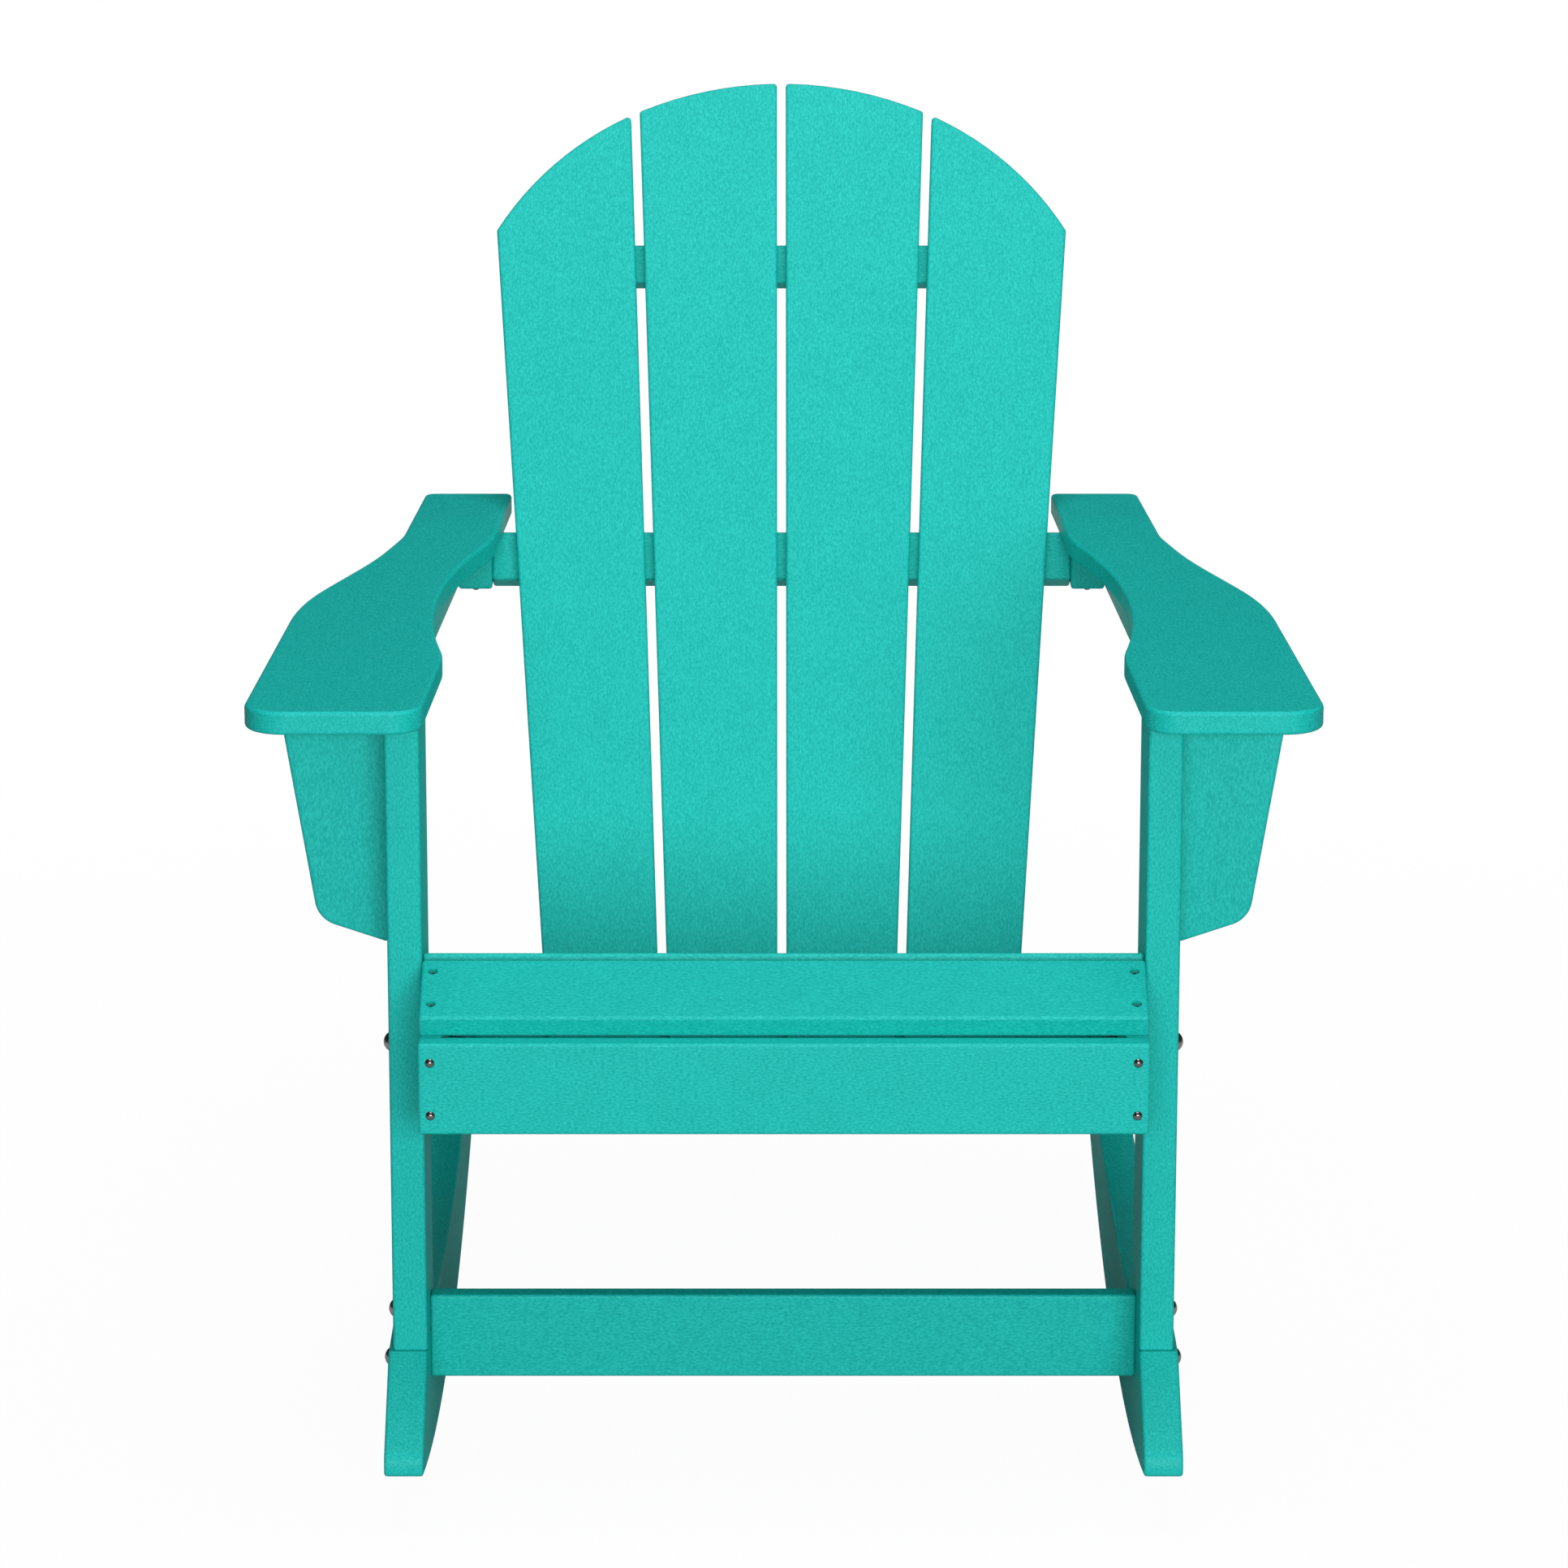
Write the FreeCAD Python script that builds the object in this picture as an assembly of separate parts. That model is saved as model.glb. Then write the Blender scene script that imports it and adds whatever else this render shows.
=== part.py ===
# Rocking Adirondack chair of solid plastic lumber.
# X runs across the chair, +Y runs from the front to the back and +Z is up.
# While it is built, Y = 0 is the front face of the front legs and Z = 0 is the floor.
# The last step slides every piece along Y, so that the middle of the chair's depth is the origin.
import FreeCAD, Part
import math
import os

os.makedirs("parts", exist_ok=True)

# Board stock
thin_board = 18.0
thick_board = 25.0
leg_board = 26.2
rocker_board = 30.0
edge_round = 2.5
corner_round = 3.0
slide_clearance = 0.3
hole_clearance = 0.15

# Front legs
leg_gap = 547.4
leg_depth = 100.0
leg_foot_height = 121.5

# Rockers
rocker_radius = 1850.0
rocker_contact = 345.0
rocker_waist_height = 95.5
rocker_waist_start = 450.0
nose_reach = 80.0
nose_end_height = 14.7
nose_top_share = 0.6
nose_bottom_share = 0.17
tail_overhang = 85.0
tail_round_share = 0.37

# Rear legs
rear_leg_front = 640.0
rear_leg_depth = 90.0
rear_leg_top_drop = 6.0

# Stretchers
stretcher_height = 67.0
stretcher_setback = 50.0
stretcher_above_foot = 27.9
rear_stretcher_setback = 36.0
rear_stretcher_drop = 16.0

# Seat
crest_y = 6.9
crest_height = 420.0
crest_gap = 3.0
front_slat_width = 71.8
front_slat_tilt = 21.2
seat_slope = 17.0
seat_slat_count = 6
seat_slat_gap = 5.0
seat_back_gap = 6.0
stringer_width = 89.0
stringer_tail_round = 30.0

# Apron
apron_face = 80.6
apron_height = 71.3
apron_above_slat = 0.3

# Back
back_lean = 27.0
back_y = 635.0
slat_gap = 7.5
fan_step = 1.97
slat_width_step = 3.4
crown_radius = 303.0
crown_side_radius = 263.5
crown_centre = 87.2
crown_corner_round = 3.5
mid_brace_height = 41.5
mid_brace_inset = 30.2
mid_brace_overhang = 19.75
upper_brace_height = 34.0
upper_brace_below_crown = 138.3
upper_brace_inset = 11.4
lower_brace_height = 60.0
lower_brace_rise = 12.0
lower_brace_lift = 17.0

# Arms
arm_top = 641.5
arm_front_reach = 50.0
arm_tail_reach = 70.0
arm_round = 3.0
# Corners of the right arm's outline: how far outside the front leg's inner face, how far along
# the arm from its front end as a share of its length, and the radius that rounds the corner
arm_front_inner = (-3.7, 0.0, 25.0)
arm_front_outer = (130.3, 0.0, 30.0)
arm_shoulder = (110.0, 0.4624, 419.0)
arm_outer_swing = (57.3, 0.673, 678.0)
arm_outer_waist = (40.2, 0.7828, 164.0)
arm_tail_outer = (29.6, 1.0, 9.0)
arm_tail_inner = (-44.1, 1.0, 6.0)
arm_inner_waist = (-35.0, 0.7658, 178.0)
arm_inner_hollow = (17.4, 0.4988, 815.0)
arm_inner_bump = (-12.8, 0.2364, 154.0)
arm_block_width = 28.2
arm_block_depth = 40.0
arm_block_height = 44.5
arm_block_lead = 23.0

# Arm rails
arm_rail_height = 42.5
arm_rail_clear = 1.5
arm_rail_screw_inset = 60.0

# Arm brackets
bracket_reach = 81.5
bracket_drop_share = 0.9135
bracket_corner_reach = 54.5
bracket_corner_share = 0.8225
bracket_corner_round = 22.0
bracket_screw_inset = 40.0

# Screws and bolts
screw_shank = 4.0
screw_head = 7.2
pan_head_height = 2.6
sunk_head_depth = 3.0
sunk_below_face = 1.8
screw_edge_inset = 15.0
seat_screw_inset = 15.0
seat_screw_front_inset = 17.0
screw_bite = 20.0
slat_screw_bite = 12.0
slat_screw_inset = 22.0
bolt_shank = 8.0
bolt_head = 16.0
bolt_head_height = 7.2
bolt_below_middle = 4.9
bolt_tail = 3.0
washer_width = 16.0
washer_thickness = 1.6
nut_width = 13.0
nut_thickness = 6.5
lag_shank = 6.0
lag_bite = 45.0
lag_edge_inset = 13.5
dowel_width = 10.0
dowel_length = 60.0
dowel_inset = 25.0
arm_dowel_depth = 11.0
rear_dowel_depth = 15.0

# Places that follow from the sizes above
leg_in = leg_gap / 2
leg_out = leg_in + leg_board
stringer_in = leg_in - thin_board
stringer_mid = leg_in - thin_board / 2
arm_under = arm_top - thin_board
slope = math.radians(seat_slope)
tilt = math.radians(front_slat_tilt)
lean = math.radians(back_lean)
rear_leg_back = rear_leg_front + rear_leg_depth


def vec(x, y, z):
    return FreeCAD.Vector(x, y, z)


def rounded_wire(corners, place):
    """Closed outline through corners (u, v, r). Each corner is rounded with an arc of radius r
    that meets both sides at r / tan(half the inside angle) from the corner."""
    turns = []
    for i, (u, v, r) in enumerate(corners):
        back = vec(corners[i - 1][0] - u, corners[i - 1][1] - v, 0).normalize()
        following = corners[(i + 1) % len(corners)]
        ahead = vec(following[0] - u, following[1] - v, 0).normalize()
        half = back.getAngle(ahead) / 2
        reach = r / math.tan(half)
        here = vec(u, v, 0)
        middle = here + (back + ahead).normalize() * (r / math.sin(half) - r)
        turns.append((here + back * reach, middle, here + ahead * reach))
    edges = []
    for i, (start, middle, end) in enumerate(turns):
        edges.append(Part.Arc(place(start), place(middle), place(end)).toShape())
        edges.append(Part.makeLine(place(end), place(turns[(i + 1) % len(turns)][0])))
    return Part.Wire(edges)


def plate(corners, place, push):
    """Board cut to a rounded outline and pushed along one direction."""
    return Part.Face(rounded_wire(corners, place)).extrude(push)


def rim_edges(solid, low, high, axis):
    """Edges that lie in one of the two flat faces low and high along an axis."""
    chosen = []
    for edge in solid.Edges:
        box = edge.BoundBox
        ends = {"x": (box.XMin, box.XMax), "y": (box.YMin, box.YMax), "z": (box.ZMin, box.ZMax)}[axis]
        for level in (low, high):
            if abs(ends[0] - level) < 1e-4 and abs(ends[1] - level) < 1e-4:
                chosen.append(edge)
    return chosen


def side_plate(corners, x0, x1):
    """Board whose outline lies in the side view (y, z), from x0 to x1, with softened rims."""
    blank = plate(corners, lambda p: vec(x0, p.x, p.y), vec(x1 - x0, 0, 0))
    return blank.makeFillet(edge_round, rim_edges(blank, x0, x1, "x"))


def front_plate(corners, y0, y1):
    """Board whose outline lies in the front view (x, z), from y0 to y1, with softened rims."""
    blank = plate(corners, lambda p: vec(p.x, y0, p.y), vec(0, y1 - y0, 0))
    return blank.makeFillet(edge_round, rim_edges(blank, y0, y1, "y"))


def board(x0, x1, y0, y1, z0, z1):
    """Straight board with every edge softened."""
    blank = Part.makeBox(x1 - x0, y1 - y0, z1 - z0, vec(x0, y0, z0))
    return blank.makeFillet(edge_round, blank.Edges)


def mirrored(solid):
    return solid.mirror(vec(0, 0, 0), vec(1, 0, 0))


def aimed(solid, point, direction):
    """Turns a piece whose head points along +Z so that it points along direction, at a point."""
    turn = FreeCAD.Rotation(vec(0, 0, 1), direction)
    moved = solid.copy()
    moved.Placement = FreeCAD.Placement(point, turn)
    return moved


def domed_screw(head, height, shank, length):
    """Screw with a domed head that sits on Z = 0 and a plain shank below it."""
    ball = (head * head / 4 + height * height) / (2 * height)
    profile = [
        Part.Arc(vec(0, 0, height), vec(ball * math.sin(math.asin(head / 2 / ball) / 2), 0,
                 height - ball + ball * math.cos(math.asin(head / 2 / ball) / 2)),
                 vec(head / 2, 0, 0)).toShape(),
        Part.makeLine(vec(head / 2, 0, 0), vec(shank / 2, 0, 0)),
        Part.makeLine(vec(shank / 2, 0, 0), vec(shank / 2, 0, -length)),
        Part.makeLine(vec(shank / 2, 0, -length), vec(0, 0, -length)),
        Part.makeLine(vec(0, 0, -length), vec(0, 0, height)),
    ]
    return Part.Face(Part.Wire(profile)).revolve(vec(0, 0, 0), vec(0, 0, 1), 360)


def flat_screw(head, depth, shank, length):
    """Screw with a flat drum head from Z = 0 down to -depth and a plain shank below it."""
    drum = Part.makeCylinder(head / 2, depth, vec(0, 0, -depth))
    rod = Part.makeCylinder(shank / 2, length - depth, vec(0, 0, -length))
    return drum.fuse(rod).removeSplitter()


def hole(point, direction, width, length):
    """Cylinder that runs from a point against the direction in which a screw's head points."""
    return Part.makeCylinder(width / 2 + hole_clearance, length, point, direction * -1)


pieces = {}
holes = {}


def export(name, solids):
    """Keeps a piece, one solid or a group of like ones, under its name."""
    pieces[name] = solids[0] if len(solids) == 1 else Part.makeCompound(solids)


def drill(names, cutters):
    """Notes cutters for the boards that they pass through; they are cut at the end."""
    for name in names:
        holes.setdefault(name, []).extend(cutters)


# Front legs: upright boards that stand on the rockers and carry the arms
front_leg = board(leg_in, leg_out, 0, leg_depth, leg_foot_height, arm_under)
export("front_leg_right", [front_leg])
export("front_leg_left", [mirrored(front_leg)])


# Rockers: the underside is one arc, and the top dips from the front leg's foot to a level waist
def rocker():
    tail_end = rear_leg_back + tail_overhang
    inside = leg_in
    nose_bottom = arc_height(-nose_reach)
    nose_top = nose_bottom + nose_end_height
    tail_bottom = arc_height(tail_end)
    drop = leg_foot_height - rocker_waist_height
    run = rocker_waist_start - leg_depth
    dip = (run * run + drop * drop) / (2 * drop)
    swing = math.atan2(run, dip - drop) / 2
    dip_middle = vec(inside, rocker_waist_start - dip * math.sin(swing),
                     rocker_waist_height + dip - dip * math.cos(swing))
    below = -rocker_board
    corners = [
        vec(inside, leg_depth, leg_foot_height),
        vec(inside, 0, leg_foot_height),
        vec(inside, -nose_reach, nose_top),
        vec(inside, -nose_reach, below),
        vec(inside, tail_end, below),
        vec(inside, tail_end, rocker_waist_height),
        vec(inside, rocker_waist_start, rocker_waist_height),
    ]
    edges = [Part.makeLine(a, b) for a, b in zip(corners, corners[1:])]
    edges.append(Part.Arc(corners[-1], dip_middle, corners[0]).toShape())
    blank = Part.Face(Part.Wire(edges)).extrude(vec(rocker_board, 0, 0))
    wheel = Part.makeCylinder(rocker_radius, rocker_board,
                              vec(inside, rocker_contact, rocker_radius), vec(1, 0, 0))
    blank = blank.common(wheel)
    # A round takes its share of the nose's end face, whatever angle the corner has
    top_angle = math.pi / 2 + math.atan2(leg_foot_height - nose_top, nose_reach)
    bottom_angle = math.pi / 2 + math.asin((rocker_contact + nose_reach) / rocker_radius)
    top_round = nose_top_share * nose_end_height * math.tan(top_angle / 2)
    bottom_round = nose_bottom_share * nose_end_height * math.tan(bottom_angle / 2)
    tail_round = tail_round_share * (rocker_waist_height - tail_bottom)
    blank = round_across(blank, -nose_reach, nose_top, top_round)
    blank = round_across(blank, -nose_reach, nose_bottom, bottom_round)
    blank = round_across(blank, tail_end, rocker_waist_height, tail_round)
    blank = round_across(blank, tail_end, tail_bottom, tail_round)
    return blank.makeFillet(edge_round, rim_edges(blank, inside, inside + rocker_board, "x"))


def arc_height(y):
    """Height of the rocker's underside above the floor."""
    return rocker_radius - math.sqrt(rocker_radius ** 2 - (y - rocker_contact) ** 2)


def round_across(solid, y, z, radius):
    """Rounds the one edge that runs across the board at (y, z)."""
    for edge in solid.Edges:
        box = edge.BoundBox
        if box.XLength > 1 and abs(box.YMin - y) < 1e-3 and abs(box.ZMin - z) < 1e-3:
            return solid.makeFillet(radius, [edge])
    raise ValueError("no edge to round at %.2f, %.2f" % (y, z))


right_rocker = rocker()
export("rocker_right", [right_rocker])
export("rocker_left", [mirrored(right_rocker)])


# Seat stringers: side boards that carry the seat, with a crest behind the front slat
def stringer_top(y):
    """Height of the stringer's top edge behind the crest."""
    return crest_height - (y - crest_y) * math.tan(slope)


apron_back = -(apron_face - thin_board)
front_facet_height = crest_height + (apron_back - crest_y) * math.tan(tilt)
front_slat_foot = crest_height - (crest_gap / 2 + front_slat_width) * math.sin(tilt)
apron_top = front_slat_foot + apron_above_slat
apron_bottom = apron_top - apron_height
stringer_drop = stringer_width / math.cos(slope)
knee_y = crest_y + (crest_height - stringer_drop - apron_bottom) / math.tan(slope)
stringer_corners = [
    (apron_back, front_facet_height, corner_round),
    (crest_y, crest_height, corner_round),
    (rear_leg_back, stringer_top(rear_leg_back), stringer_tail_round),
    (rear_leg_back, stringer_top(rear_leg_back) - stringer_drop, stringer_tail_round),
    (knee_y, apron_bottom, stringer_width),
    (apron_back, apron_bottom, corner_round),
]
stringer = side_plate(stringer_corners, stringer_in, leg_in)
export("seat_stringer_right", [stringer])
export("seat_stringer_left", [mirrored(stringer)])

# Rear legs: short boards between the stringers' tails and the rockers
rear_leg_corners = [
    (rear_leg_front, rocker_waist_height, corner_round),
    (rear_leg_front, stringer_top(rear_leg_front) - rear_leg_top_drop, corner_round),
    (rear_leg_back, stringer_top(rear_leg_back) - rear_leg_top_drop, corner_round),
    (rear_leg_back, rocker_waist_height, corner_round),
]
rear_leg = side_plate(rear_leg_corners, leg_in, leg_out)
export("rear_leg_right", [rear_leg])
export("rear_leg_left", [mirrored(rear_leg)])

# Apron: board across the stringers' front ends
export("apron", [board(-leg_in, leg_in, -apron_face, apron_back, apron_bottom, apron_top)])

# Stretchers: one between the front legs and rockers, one between the stringers' tails
stretcher_top = leg_foot_height + stretcher_above_foot
export("front_stretcher", [board(-leg_in, leg_in, stretcher_setback, stretcher_setback + thin_board,
                                 stretcher_top - stretcher_height, stretcher_top)])
rear_stretcher_y = rear_leg_front + rear_stretcher_setback
rear_stretcher_top = stringer_top(rear_stretcher_y) - rear_stretcher_drop
export("rear_stretcher", [board(-stringer_in, stringer_in,
                                rear_stretcher_y, rear_stretcher_y + thin_board,
                                rear_stretcher_top - stretcher_height, rear_stretcher_top)])

# Back frame: local z runs up the slats from the mid brace's top edge, local y runs rearwards
# from the back face of the slats, and the whole is leaned and set on the brace's top edge
back_frame = FreeCAD.Placement(vec(0, back_y, arm_under), FreeCAD.Rotation(vec(1, 0, 0), -back_lean))


def on_back(solid):
    moved = solid.copy()
    moved.Placement = back_frame.multiply(moved.Placement)
    return moved


# Seat slats: the front one tips forward over the crest, the others slope down to the back
seat_half = leg_in - slide_clearance
half_gap = crest_gap / 2


def seat_slat(width):
    return board(-seat_half, seat_half, 0, width, 0, thin_board)


def seat_place(start, angle):
    """Frame on the stringer's top edge: y runs along the edge from start, z stands on it."""
    along = vec(0, math.cos(angle), math.sin(angle))
    return FreeCAD.Placement(vec(0, crest_y, crest_height) + along * start,
                             FreeCAD.Rotation(vec(1, 0, 0), math.degrees(angle)))


front_place = seat_place(-front_slat_width - half_gap, tilt)
seat_slats = [(front_place, front_slat_width)]
back_face_y = back_y - thin_board / math.cos(lean)
# Distance down the slope at which the seat's top face would meet the slats' front faces
top_y = crest_y + thin_board * math.sin(slope)
top_z = crest_height + thin_board * math.cos(slope)
reach_to_back = ((back_face_y - (arm_under - top_z) * math.tan(lean) - top_y)
                 / (math.cos(slope) + math.sin(slope) * math.tan(lean)))
seat_run = reach_to_back - seat_back_gap - half_gap
seat_slat_width = (seat_run - (seat_slat_count - 1) * seat_slat_gap) / seat_slat_count
for i in range(seat_slat_count):
    start = half_gap + i * (seat_slat_width + seat_slat_gap)
    seat_slats.append((seat_place(start, -slope), seat_slat_width))
for i, (place, width) in enumerate(seat_slats):
    slat = seat_slat(width)
    slat.Placement = place
    export("seat_slat_front" if i == 0 else "seat_slat_%d" % (i + 1), [slat])


# Back slats: a fan of tapered boards under one round crown. At the mid brace's top edge they
# fill the width between its overhanging ends. The crown is a flatter arc over the inner slats
# and a rounder one over each outer slat; they meet in the gap, with one direction there.
mid_brace_half = leg_in - mid_brace_inset
slat_widths = mid_brace_half - mid_brace_overhang - 1.5 * slat_gap
inner_slat_width = (slat_widths - slat_width_step) / 2
outer_slat_width = (slat_widths + slat_width_step) / 2

# The lower brace lies between the stringers, a little above the line along their middles, and
# the slats end a little below it
brace_mid_y = back_y + thick_board / 2 * math.cos(lean)
stringer_mid_height = stringer_top(brace_mid_y) - stringer_drop / 2
lower_brace_middle = ((stringer_mid_height - arm_under + thick_board / 2 * math.sin(lean))
                      / (math.cos(lean) + math.sin(lean) * math.tan(slope)) + lower_brace_lift)
lower_brace_bottom = lower_brace_middle - lower_brace_height / 2
slat_tail = -(lower_brace_bottom - lower_brace_rise)


def fan_line(step):
    """Foot and slope of a fan line; lines are fan_step degrees apart and spread upwards."""
    foot = (0, inner_slat_width + slat_gap, inner_slat_width + outer_slat_width + 2 * slat_gap)[step]
    return foot, math.tan(math.radians(fan_step * step))


def crown_meet(foot, rise, arc):
    """Point at which the line x = foot + rise * z meets a crown arc (centre x, centre z, radius)."""
    centre_x, centre_z, radius = arc
    a = 1 + rise * rise
    b = rise * (foot - centre_x) - centre_z
    c = (foot - centre_x) ** 2 + centre_z ** 2 - radius ** 2
    z = (-b + math.sqrt(b * b - a * c)) / a
    return foot + rise * z, z


middle_arc = (0, crown_centre, crown_radius)
crown_join = crown_meet(*fan_line(1), middle_arc)
side_share = 1 - crown_side_radius / crown_radius
side_arc = (crown_join[0] * side_share, crown_centre + (crown_join[1] - crown_centre) * side_share,
            crown_side_radius)


def back_slat(index):
    """Slat between fan lines index and index + 1, half a gap inside each."""
    inner_foot, inner_rise = fan_line(index)
    outer_foot, outer_rise = fan_line(index + 1)
    inner_foot = inner_foot + slat_gap / 2
    outer_foot = outer_foot - slat_gap / 2
    arc = (middle_arc, side_arc)[index]
    inner_top = crown_meet(inner_foot, inner_rise, arc)
    outer_top = crown_meet(outer_foot, outer_rise, arc)
    middle_top = crown_meet((inner_foot + outer_foot) / 2, (inner_rise + outer_rise) / 2, arc)
    inner_end = (inner_foot - inner_rise * slat_tail, -slat_tail)
    outer_end = (outer_foot - outer_rise * slat_tail, -slat_tail)
    points = [vec(x, -thin_board, z) for x, z in (inner_top, inner_end, outer_end, outer_top)]
    edges = [Part.makeLine(a, b) for a, b in zip(points, points[1:])]
    edges.append(Part.Arc(points[3], vec(middle_top[0], -thin_board, middle_top[1]), points[0]).toShape())
    blank = Part.Face(Part.Wire(edges)).extrude(vec(0, thin_board, 0))
    if index == 1:
        blank = round_through(blank, outer_top[0], outer_top[1], crown_corner_round)
    else:
        blank = round_through(blank, outer_top[0], outer_top[1], corner_round)
    blank = round_through(blank, inner_top[0], inner_top[1], corner_round)
    for x, z in (inner_end, outer_end):
        blank = round_through(blank, x, z, corner_round)
    return blank.makeFillet(edge_round, rim_edges(blank, -thin_board, 0, "y"))


def round_through(solid, x, z, radius):
    """Rounds the one edge that runs through the board at (x, z)."""
    for edge in solid.Edges:
        box = edge.BoundBox
        if box.YLength > 1 and abs(box.XMin - x) < 1e-3 and abs(box.ZMin - z) < 1e-3:
            return solid.makeFillet(radius, [edge])
    raise ValueError("no edge to round at %.2f, %.2f" % (x, z))


for index, name in enumerate(("inner", "outer")):
    slat = back_slat(index)
    export("back_slat_%s_right" % name, [on_back(slat)])
    export("back_slat_%s_left" % name, [on_back(mirrored(slat))])

# Back braces: boards across the back faces of the slats
fan_edge, fan_rise = fan_line(2)
upper_brace_top = crown_centre + crown_radius - upper_brace_below_crown
upper_brace_half = (fan_edge - slat_gap / 2 - upper_brace_inset
                    + fan_rise * (upper_brace_top - upper_brace_height / 2))
braces = {
    "mid_back_brace": (mid_brace_half, thick_board, -mid_brace_height, 0),
    "upper_back_brace": (upper_brace_half, thin_board,
                         upper_brace_top - upper_brace_height, upper_brace_top),
    "lower_back_brace": (stringer_in, thick_board,
                         lower_brace_bottom, lower_brace_bottom + lower_brace_height),
}
for name, (half, thickness, low, high) in braces.items():
    export(name, [on_back(board(-half, half, 0, thickness, low, high))])


# Arms: wide at the front, waisted where the outer and inner edges swing in to the back
arm_outline = (arm_front_inner, arm_front_outer, arm_shoulder, arm_outer_swing, arm_outer_waist,
               arm_tail_outer, arm_tail_inner, arm_inner_waist, arm_inner_hollow, arm_inner_bump)
arm_length = arm_front_reach + back_y + arm_tail_reach
arm_corners = [(leg_in + out, share * arm_length - arm_front_reach, radius)
               for out, share, radius in arm_outline]
arm_blank = plate(arm_corners, lambda p: vec(p.x, p.y, arm_under), vec(0, 0, thin_board))
arm = arm_blank.makeFillet(arm_round, rim_edges(arm_blank, arm_under, arm_top, "z"))
export("arm_right", [arm])
export("arm_left", [mirrored(arm)])

# Arm brackets: tapered boards outside the front legs, under the arms
bracket_front = (leg_depth - thick_board) / 2
bracket_drop = bracket_drop_share * (arm_under - crest_height)
bracket_corner_drop = bracket_corner_share * (arm_under - crest_height)
bracket_corners = [
    (leg_out, arm_under, corner_round),
    (leg_out + bracket_reach, arm_under, corner_round),
    (leg_out + bracket_corner_reach, arm_under - bracket_corner_drop, bracket_corner_round),
    (leg_out, arm_under - bracket_drop, corner_round),
]
bracket = front_plate(bracket_corners, bracket_front, bracket_front + thick_board)
export("arm_bracket_right", [bracket])
export("arm_bracket_left", [mirrored(bracket)])

# Arm blocks: cleats under the arms' rear ends, against the ends of the mid brace
block_front = back_y - arm_block_lead
block = board(mid_brace_half, mid_brace_half + arm_block_width, block_front,
              block_front + arm_block_depth, arm_under - arm_block_height, arm_under)
export("arm_block_right", [block])
export("arm_block_left", [mirrored(block)])

# Arm rails: straight boards on edge under the arms, from just outside the front legs at the
# brackets' back faces to the blocks' outer front corners; both ends are cut square to the chair
rail_front = bracket_front + thick_board
rail_front_in = leg_out + arm_rail_clear
rail_back_in = mid_brace_half + arm_block_width
rail_splay = (rail_front_in - rail_back_in) / (block_front - rail_front)
rail_width = thin_board * math.sqrt(1 + rail_splay ** 2)
rail_corners = [
    (rail_front_in, rail_front, corner_round),
    (rail_front_in + rail_width, rail_front, corner_round),
    (rail_back_in + rail_width, block_front, corner_round),
    (rail_back_in, block_front, corner_round),
]
rail_bottom = arm_under - arm_rail_height
rail_blank = plate(rail_corners, lambda p: vec(p.x, p.y, rail_bottom), vec(0, 0, arm_rail_height))
rail = rail_blank.makeFillet(edge_round, rim_edges(rail_blank, rail_bottom, arm_under, "z"))
export("arm_rail_right", [rail])
export("arm_rail_left", [mirrored(rail)])

# Seat screws: coloured heads sunk a little below the faces of the seat slats
seat_screw = flat_screw(screw_head, sunk_head_depth, screw_shank,
                        thin_board + screw_bite - sunk_below_face)
seat_screws = []
for i, (place, width) in enumerate(seat_slats):
    insets = (seat_screw_front_inset if i == 0 else seat_screw_inset, width - seat_screw_inset)
    for x in (-stringer_mid, stringer_mid):
        for inset in insets:
            up = place.Rotation.multVec(vec(0, 0, 1))
            face = place.multVec(vec(x, inset, thin_board))
            name = "seat_slat_front" if i == 0 else "seat_slat_%d" % (i + 1)
            side = "seat_stringer_left" if x < 0 else "seat_stringer_right"
            seat_screws.append(aimed(seat_screw, face - up * sunk_below_face, up))
            drill([name], [hole(face, up, screw_head, sunk_below_face + sunk_head_depth)])
            drill([name, side], [hole(face, up, screw_shank, thin_board + screw_bite)])
export("seat_screws", seat_screws)

# Apron screws: dark domed heads, two into the end of each stringer
apron_screw = domed_screw(screw_head, pan_head_height, screw_shank, thin_board + screw_bite)
apron_screws = []
for side, x in (("left", -stringer_mid), ("right", stringer_mid)):
    for z in (apron_bottom + screw_edge_inset, apron_top - screw_edge_inset):
        point = vec(x, -apron_face, z)
        apron_screws.append(aimed(apron_screw, point, vec(0, -1, 0)))
        drill(["apron", "seat_stringer_" + side],
              [hole(point, vec(0, -1, 0), screw_shank, thin_board + screw_bite)])
export("apron_screws", apron_screws)

# Back slat screws: driven from behind through the braces, two into each slat
back_screws = []
for name, (half, thickness, low, high) in braces.items():
    screw = domed_screw(screw_head, pan_head_height, screw_shank, thickness + slat_screw_bite)
    z = (low + high) / 2
    for index, part in enumerate(("inner", "outer")):
        inner_foot, inner_rise = fan_line(index)
        outer_foot, outer_rise = fan_line(index + 1)
        inner_x = inner_foot + inner_rise * z + slat_screw_inset
        outer_x = outer_foot + outer_rise * z - slat_screw_inset
        for x in (inner_x, outer_x):
            for sign, side in ((1, "right"), (-1, "left")):
                point = back_frame.multVec(vec(sign * x, thickness, z))
                rearward = back_frame.Rotation.multVec(vec(0, 1, 0))
                back_screws.append(aimed(screw, point, rearward))
                drill([name, "back_slat_%s_%s" % (part, side)],
                      [hole(point, rearward, screw_shank, thickness + slat_screw_bite)])
export("back_slat_screws", back_screws)

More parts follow.
